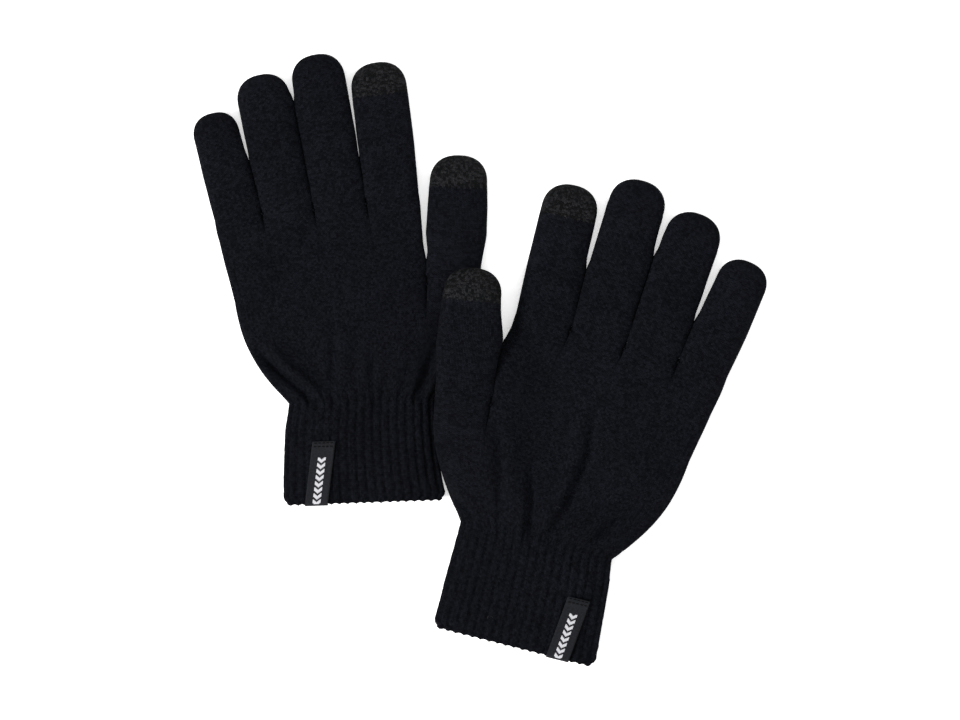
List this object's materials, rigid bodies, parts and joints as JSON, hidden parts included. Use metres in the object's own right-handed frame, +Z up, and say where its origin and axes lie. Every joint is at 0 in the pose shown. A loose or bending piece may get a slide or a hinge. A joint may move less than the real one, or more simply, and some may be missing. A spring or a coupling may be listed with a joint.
{
  "type": "touchscreen gloves",
  "caption": "Pair of knitted five-finger gloves with rib cuffs, conductive index and thumb tips and a folded hem label, laid flat with one thumb over the other glove.",
  "frame": {"origin": "under the centre of the pair's bounding box, on the table", "axes": "+Z up from the table, +Y towards the fingertips, +X from the left glove to the right one"},
  "size_m": [0.303, 0.3238, 0.0225],
  "materials": {
    "plain_knit": "matte plain-knit yarn",
    "rib_knit": "matte rib-knit yarn",
    "conductive_knit": "knit of grey and black conductive yarn with light flecks",
    "label_weave": "woven damask label",
    "sewing_thread": "polyester sewing thread",
    "rubber_thread": "covered elastic thread"
  },
  "bodies": {
    "left_hand": {"left_lower_palm": "plain_knit", "left_upper_palm": "plain_knit", "left_fork_stitch_1": "sewing_thread", "left_fork_stitch_2": "sewing_thread", "left_fork_stitch_3": "sewing_thread", "left_fork_stitch_4": "sewing_thread", "left_cuff": "rib_knit", "left_cuff_elastic_1": "rubber_thread", "left_cuff_elastic_2": "rubber_thread", "left_cuff_elastic_3": "rubber_thread", "left_label": "label_weave", "left_label_stitching_1": "sewing_thread", "left_label_stitching_2": "sewing_thread"},
    "left_little": {"left_little_finger": "plain_knit"},
    "left_ring": {"left_ring_finger": "plain_knit"},
    "left_middle": {"left_middle_finger": "plain_knit"},
    "left_index": {"left_index_finger": "plain_knit", "left_index_touch_tip": "conductive_knit"},
    "left_thumb": {"left_thumb": "plain_knit", "left_thumb_touch_tip": "conductive_knit"},
    "right_hand": {"right_lower_palm": "plain_knit", "right_upper_palm": "plain_knit", "right_fork_stitch_1": "sewing_thread", "right_fork_stitch_2": "sewing_thread", "right_fork_stitch_3": "sewing_thread", "right_fork_stitch_4": "sewing_thread"},
    "right_cuff": {"right_cuff": "rib_knit", "right_cuff_elastic_1": "rubber_thread", "right_cuff_elastic_2": "rubber_thread", "right_cuff_elastic_3": "rubber_thread", "right_label": "label_weave", "right_label_stitching_1": "sewing_thread", "right_label_stitching_2": "sewing_thread"},
    "right_little": {"right_little_finger": "plain_knit"},
    "right_ring": {"right_ring_finger": "plain_knit"},
    "right_middle": {"right_middle_finger": "plain_knit"},
    "right_index": {"right_index_finger": "plain_knit", "right_index_touch_tip": "conductive_knit"},
    "right_thumb": {"right_thumb": "plain_knit", "right_thumb_touch_tip": "conductive_knit"}
  },
  "joints": [
    {"name": "right_glove_lift", "type": "slide", "parent": "left_hand", "child": "right_hand", "axis": [0, 0, 1], "range_m": [0, 0.12]},
    {"name": "left_little_fold", "type": "hinge", "parent": "left_hand", "child": "left_little", "pos_m": [-0.12829, 0.07708, 0.011], "axis": [0.9925, 0.1219, 0], "range_deg": [0, 80]},
    {"name": "left_ring_fold", "type": "hinge", "parent": "left_hand", "child": "left_ring", "pos_m": [-0.10202, 0.08093, 0.011], "axis": [0.9925, 0.1219, 0], "range_deg": [0, 80]},
    {"name": "left_middle_fold", "type": "hinge", "parent": "left_hand", "child": "left_middle", "pos_m": [-0.0745, 0.08358, 0.011], "axis": [0.9925, 0.1219, 0], "range_deg": [0, 80]},
    {"name": "left_index_fold", "type": "hinge", "parent": "left_hand", "child": "left_index", "pos_m": [-0.04626, 0.08642, 0.011], "axis": [0.9925, 0.1219, 0], "range_deg": [0, 80]},
    {"name": "left_thumb_swing", "type": "hinge", "parent": "left_hand", "child": "left_thumb", "pos_m": [-0.01346, 0.04734, 0], "axis": [0, 0, -1], "range_deg": [-2, 12]},
    {"name": "right_little_fold", "type": "hinge", "parent": "right_hand", "child": "right_little", "pos_m": [0.11839, -0.00408, 0.011], "axis": [0.9537, -0.3007, 0], "range_deg": [0, 80]},
    {"name": "right_ring_fold", "type": "hinge", "parent": "right_hand", "child": "right_ring", "pos_m": [0.09145, 0.00512, 0.011], "axis": [0.9537, -0.3007, 0], "range_deg": [0, 80]},
    {"name": "right_middle_fold", "type": "hinge", "parent": "right_hand", "child": "right_middle", "pos_m": [0.06293, 0.0133, 0.011], "axis": [0.9537, -0.3007, 0], "range_deg": [0, 80]},
    {"name": "right_index_fold", "type": "hinge", "parent": "right_hand", "child": "right_index", "pos_m": [0.03371, 0.02181, 0.011], "axis": [0.9537, -0.3007, 0], "range_deg": [0, 80]},
    {"name": "right_thumb_swing", "type": "hinge", "parent": "right_hand", "child": "right_thumb", "pos_m": [-0.00877, -0.01296, 0.0118], "axis": [0, 0, 1], "range_deg": [-2, 12]},
    {"name": "right_cuff_fold", "type": "hinge", "parent": "right_hand", "child": "right_cuff", "pos_m": [0.02968, -0.09559, 0.011], "axis": [-0.9694, 0.2453, 0], "range_deg": [0, 80]}
  ]
}
